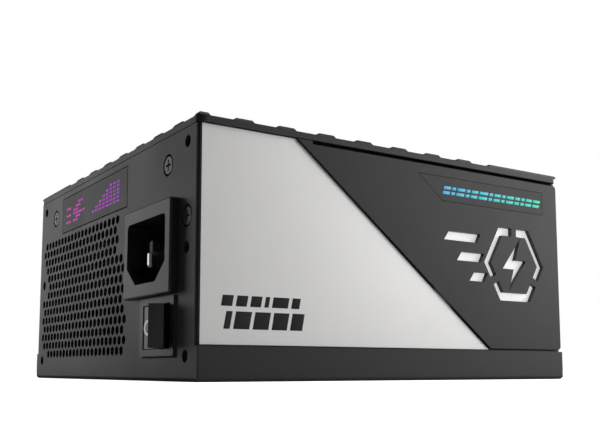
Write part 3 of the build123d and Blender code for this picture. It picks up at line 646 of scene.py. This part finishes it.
def rating_rules():
    """An empty table of thin printed lines."""
    low, high = span("rating_plate")
    back, front = low[0] - 0.03, low[0] + 0.02
    left, right = low[1] + RULE_MARGIN, high[1] - RULE_MARGIN
    bottom, top = low[2] + RULE_FOOT, high[2] - RULE_MARGIN
    rules = []
    for row in range(RULE_ROWS + 1):
        z = bottom + (top - bottom) * row / RULE_ROWS
        rules.append(slab((back, left, z - RULE_HALF), (front, right, z + RULE_HALF), edge=0.01))
    for share in RULE_COLUMNS:
        y = left + (right - left) * share
        rules.append(slab((back, y - RULE_HALF, bottom), (front, y + RULE_HALF, top), edge=0.01))
    join("rating_plate_rules", rules, "mark_ink_painted_glow")


rating_rules()

# ---------------------------------------------------------------- painted shade round the side plates
SHADE_STRIP_THICK = 0.5
SHADE_STRIP_DEEP = 0.45


def side_plate_shade_strips():
    """Thin black strips of painted shade that stand for the shadow in the gaps beside, at the corner of and
    below the side plates.
    """
    silver_low, silver_high = span("silver_side_plate")
    dark_low, dark_high = span("dark_side_plate")
    back, front = silver_low[0] - 0.05, silver_low[0] + SHADE_STRIP_DEEP
    edge = silver_low[1]
    beside = slab((back, edge - SHADE_STRIP_THICK, silver_low[2]), (front, edge, silver_high[2]), 0.04)
    corner = slab((silver_low[0] + 1.0, -62.1, 0.8), (62.53, -61.75, 8.1), 0.02)
    below = slab((back, 31.6, dark_low[2] - 0.3), (front, dark_high[1] - 0.6, dark_low[2] + 0.05), 0.04)
    join("side_plate_painted_shade", [beside, corner, below], "print_and_painted_shade_ink")


side_plate_shade_strips()

# ---------------------------------------------------------------- painted shade in screw recesses and round the switch housing
SCREW_HEAD = 2.5
RECESS_ARM = 1.15
RECESS_HALF = 0.2
RECESS_SUNK = 0.1
RECESS_DEEP = 0.1


def recess_cross(x, z, near, far):
    """The two arms of a cross at one screw."""
    arms = []
    for wide, tall in ((RECESS_ARM, RECESS_HALF), (RECESS_HALF, RECESS_ARM)):
        arms.append(slab((x - wide, near, z - tall), (x + wide, far, z + tall), 0.02))
    return arms


def screw_recess_shades():
    """Dark crosses of painted shade in the cross recess of each case screw."""
    crosses = []
    for name in ("cover_screws", "earth_screw"):
        low, high = span(name)
        places = sorted({round(low[0] + SCREW_HEAD, 2), round(high[0] - SCREW_HEAD, 2)})
        z = (low[2] + high[2]) / 2
        faces = [(low[1], 1)]
        if name == "cover_screws":
            faces.append((high[1], -1))
        for face, inward in faces:
            start = face + inward * RECESS_SUNK
            near, far = sorted((start, start + inward * RECESS_DEEP))
            for x in places:
                crosses.extend(recess_cross(x, z, near, far))
    join("screw_recess_painted_shade", crosses, "print_and_painted_shade_ink")


PANEL_FACE = -62.5
SHADE_WIDE = 0.4
SHADE_OFF = 0.05
SHADE_PROUD = 0.35


def switch_housing_shade():
    """A black strip of painted shade below and beside the switch housing."""
    low, high = span("switch_housing")
    near, far = PANEL_FACE - SHADE_PROUD, PANEL_FACE + 0.05
    right = high[0] + SHADE_OFF + SHADE_WIDE
    foot = low[2] - SHADE_OFF
    below = slab((low[0] + 1.5, near, foot - SHADE_WIDE), (right, far, foot), 0.03)
    beside = slab((high[0] + SHADE_OFF, near, foot), (right, far, high[2]), 0.03)
    join("switch_housing_painted_shade", [below, beside], "print_and_painted_shade_ink")


screw_recess_shades()
switch_housing_shade()

# ---------------------------------------------------------------- edges of the sheet and plates
EDGES = {"top_trim": 0.12, "fan_guard": 0.25, "silver_side_plate": 0.08, "dark_side_plate": 0.12,
         "switch_housing": 0.2, "rocker": 0.25, "fan_frame": 0.3}
for name, width in EDGES.items():
    softened = NODES[name].modifiers.new("edge", "BEVEL")
    softened.width = width * MM
    softened.segments = 2
    softened.limit_method = "ANGLE"
    softened.angle_limit = math.radians(40)
    softened.use_clamp_overlap = True

# ---------------------------------------------------------------- floor and light


def make_floor():
    deselect()
    bpy.ops.mesh.primitive_plane_add(size=6.0, location=(0, 0, -0.00002))
    floor = bpy.context.object
    floor.name = "floor"
    material, tree, shader = start_material("floor")
    shader.inputs["Base Color"].default_value = (0.9, 0.9, 0.9, 1)
    shader.inputs["Roughness"].default_value = 0.9
    shader.inputs["Specular IOR Level"].default_value = 0.1
    shader.inputs["Emission Color"].default_value = (1, 1, 1, 1)
    seen = tree.nodes.new("ShaderNodeLightPath").outputs["Is Camera Ray"]
    tree.links.new(math_node(tree, "MULTIPLY", seen, 1.0), shader.inputs["Emission Strength"])
    floor.data.materials.append(material)


def make_light(name, place, target, size, power, tall=None):
    data = bpy.data.lights.new(name, "AREA")
    data.energy = power
    data.size = size
    if tall:
        data.shape = "RECTANGLE"
        data.size_y = tall
    light = bpy.data.objects.new(name, data)
    bpy.context.scene.collection.objects.link(light)
    light.location = place
    light.rotation_euler = (Vector(target) - Vector(place)).to_track_quat("-Z", "Y").to_euler()


WORLD_GREY = 0.055


def make_world():
    world = bpy.data.worlds.new("studio")
    bpy.context.scene.world = world
    world.use_nodes = True
    tree = world.node_tree
    background = tree.nodes["Background"]
    seen = tree.nodes.new("ShaderNodeLightPath").outputs["Is Camera Ray"]
    tree.links.new(mix_colours(tree, seen, grey(WORLD_GREY), grey(1.0)), background.inputs["Color"])


make_floor()
make_world()
CENTRE = (0, 0, 0.03)
make_light("rear_softbox", (-0.95, -0.36, 0.22), CENTRE, 0.5, 1.0, 0.5)
make_light("side_softbox", (0.42, 0.74, 0.4), (0, 0.04, 0.03), 0.8, 6.4, 0.8)
make_light("front_fill", (1.0, 0.05, 0.5), CENTRE, 0.8, 0.3)
make_light("top_softbox", (0.0, 0.1, 1.1), CENTRE, 0.8, 3.6)
bpy.context.scene.view_settings.view_transform = "Standard"
